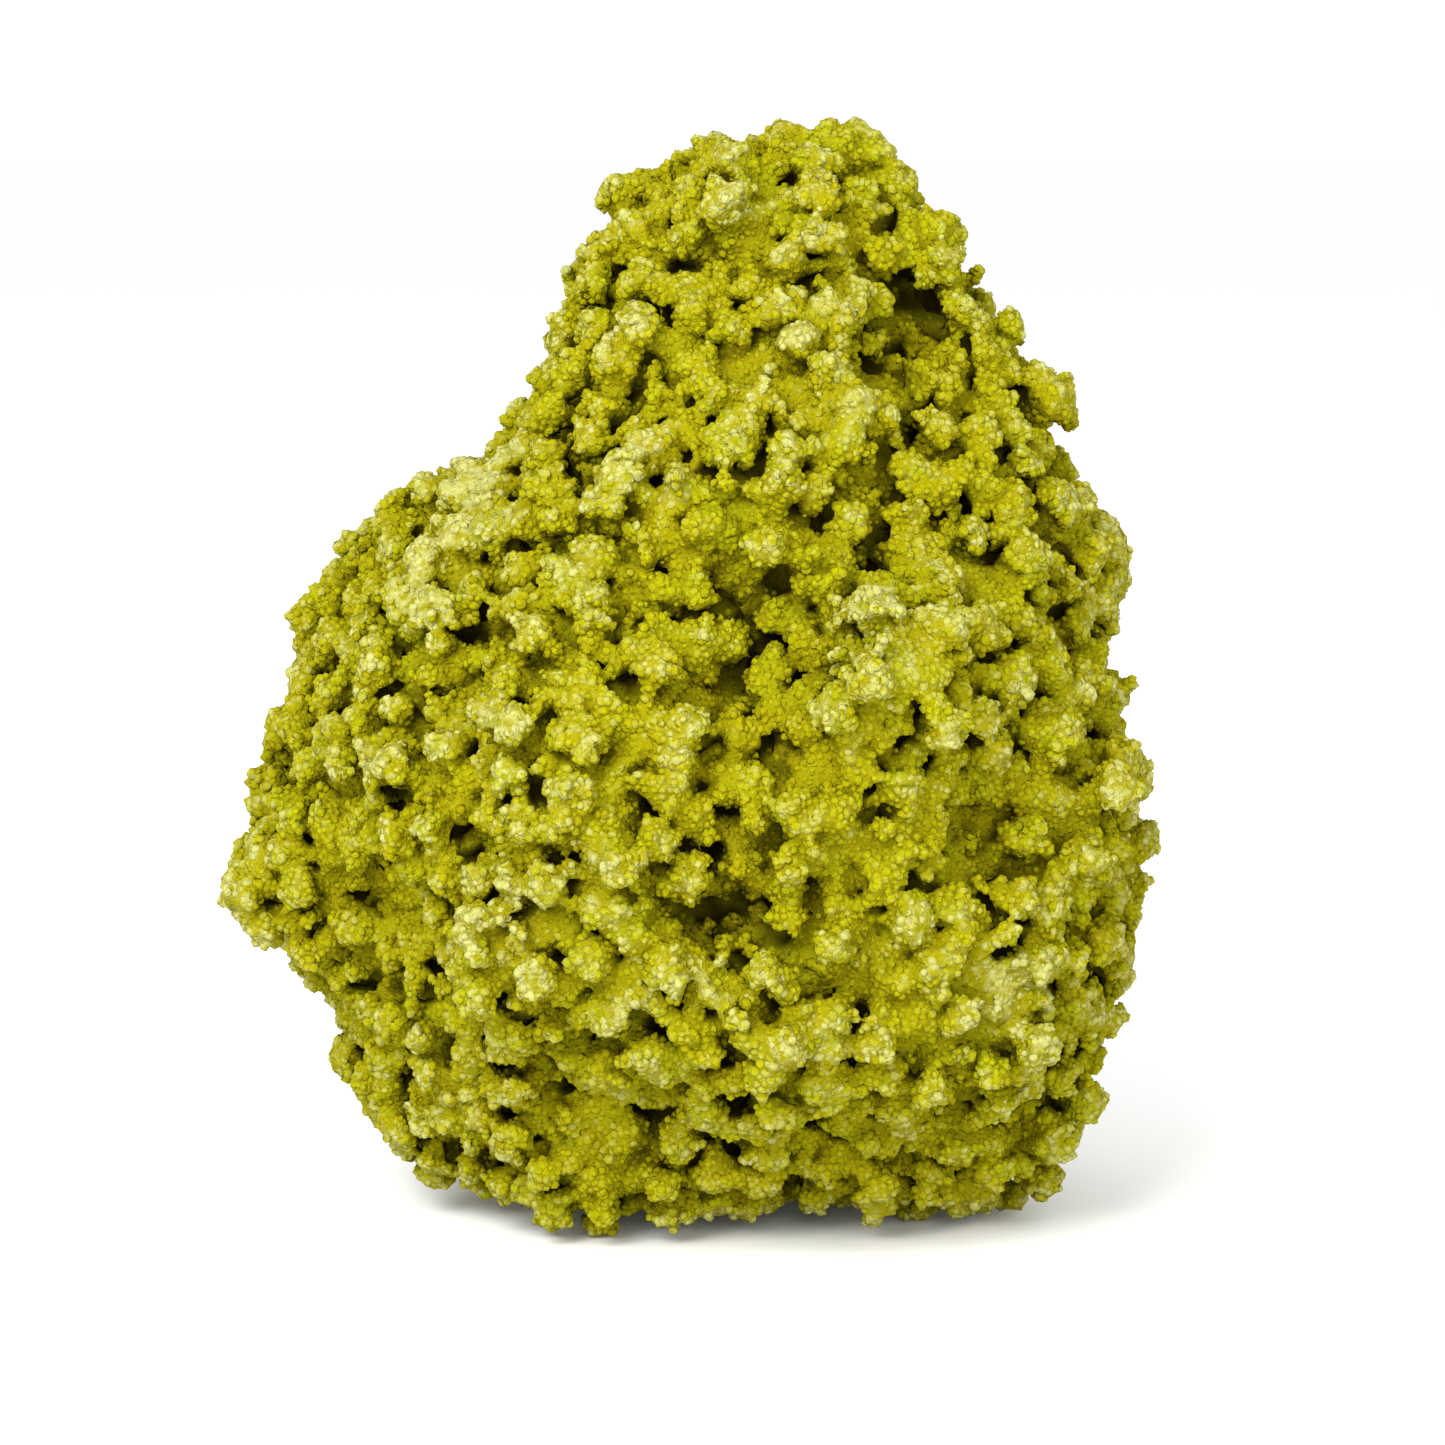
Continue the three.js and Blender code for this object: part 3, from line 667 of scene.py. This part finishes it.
grit = speckle(3500, 3)
crease = fine_grains(2300, 0.0012)
# Painted shade: each grain darkens to ochre towards its foot, where the creases between grains lie in
# shade.
colour = mix(span(kept_value("tip"), 0.0, 0.8), (0.19, 0.17, 0.0002), (0.305, 0.298, 0.0005))
# Painted shade: the creases between the fine grains are painted darker.
colour = mix(span(crease, 0.3, 0.75, 0.0, 0.6), colour, (0.15, 0.12, 0.0003))
# Painted shade: where little of the space in front is open, the clay is painted darker.
colour = mix(span(kept_value("openness"), 0.4, 0.82, 0.75, 0.0), colour, (0.16, 0.136, 0.0003))
colour = mix(span(kept_value("shade"), 0.0, 1.0, 0.0, 0.3), colour, (0.325, 0.305, 0.002))
colour = mix(span(speckle(90, 2), 0.4, 0.65, 0.0, 0.35), colour, (0.26, 0.22, 0.0005))
colour = mix(span(speckle(240, 2), 0.48, 0.68, 0.0, 0.35), colour, (0.24, 0.262, 0.0015))
dust = times(kept_value("pale"), span(speckle(1300, 3), 0.25, 0.75, 0.25, 1.75))
dust = times(dust, span(kept_value("tip"), 0.0, 0.6, 0.6, 1.0))
colour = mix(span(dust, 0.1, 0.72), colour, (0.35, 0.346, 0.112))
colour = mix(span(grit, 0.35, 0.7, 0.0, 0.12), colour, (0.40, 0.40, 0.03))
# Painted shade: the deepest hollows and pits are painted almost black.
colour = mix(span(kept_value("openness"), 0.08, 0.46), (0.02, 0.015, 0.0003), colour)
links.new(colour, shader.inputs["Base Color"])
bump = nodes.new("ShaderNodeBump")
relief = mix(0.3, span(crease, 0.0, 0.8, 1.0, 0.0), grit)
feed(bump, {"Strength": 0.8, "Distance": 0.2 * MM, "Height": relief})
links.new(bump.outputs["Normal"], shader.inputs["Normal"])

thin.materials.clear()
for piece in pieces:
    piece.data.materials.append(clay)
    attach(piece, "root")
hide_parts("nontronite_mass")

# ---- Floor, camera and lights ------------------------------------------------------------------------
# The specimen stands on a plain pale floor in a white room, under one large soft light from the upper
# left and a weak one low in front.

floor_radius = 12.0               # in metres, so that its edge is far out of sight
floor_shape = bmesh.new()
bmesh.ops.create_circle(floor_shape, cap_ends=True, segments=96, radius=floor_radius)
floor_mesh = bpy.data.meshes.new("floor")
floor_shape.to_mesh(floor_mesh)
floor_shape.free()
floor = bpy.data.objects.new("floor", floor_mesh)
bpy.context.scene.collection.objects.link(floor)
white = bpy.data.materials.new("pale floor")
white.use_nodes = True
matt_white = {"Base Color": (0.96, 0.96, 0.96, 1), "Roughness": 1.0, "Specular IOR Level": 0.0}
for socket, value in matt_white.items():
    white.node_tree.nodes["Principled BSDF"].inputs[socket].default_value = value
floor.data.materials.append(white)

view_width = 122.8 * MM
view_pixels = 1445
axis_pixel = (689, 676)           # where the middle of the specimen stands in the view
camera_data = bpy.data.cameras.new("camera")
camera_data.sensor_width = 36
camera_data.lens = camera_data.sensor_width * eye_distance / view_width
camera_data.shift_x = (view_pixels / 2 - axis_pixel[0]) / view_pixels
camera_data.shift_y = -(view_pixels / 2 - axis_pixel[1]) / view_pixels
camera = bpy.data.objects.new("camera", camera_data)
bpy.context.scene.collection.objects.link(camera)
camera.location = eye
camera.rotation_euler = (-eye_line).to_track_quat("-Z", "Y").to_euler()
bpy.context.scene.camera = camera

room = bpy.data.worlds.new("white room")
bpy.context.scene.world = room
room.use_nodes = True
room.node_tree.nodes["Background"].inputs["Color"].default_value = (1, 1, 1, 1)
room.node_tree.nodes["Background"].inputs["Strength"].default_value = 1.03
bpy.context.scene.view_settings.view_transform = "Standard"

for name, position, width, power in (
    ("key light", (-0.28, -0.62, 0.48), 0.40, 8.3),
    ("low fill light", (0.15, -0.70, 0.12), 0.50, 3.8),
):
    light = bpy.data.lights.new(name, "AREA")
    light.shape = "SQUARE"
    light.size = width
    light.energy = power
    lamp = bpy.data.objects.new(name, light)
    bpy.context.scene.collection.objects.link(lamp)
    lamp.location = position
    lamp.rotation_euler = (middle - lamp.location).to_track_quat("-Z", "Y").to_euler()
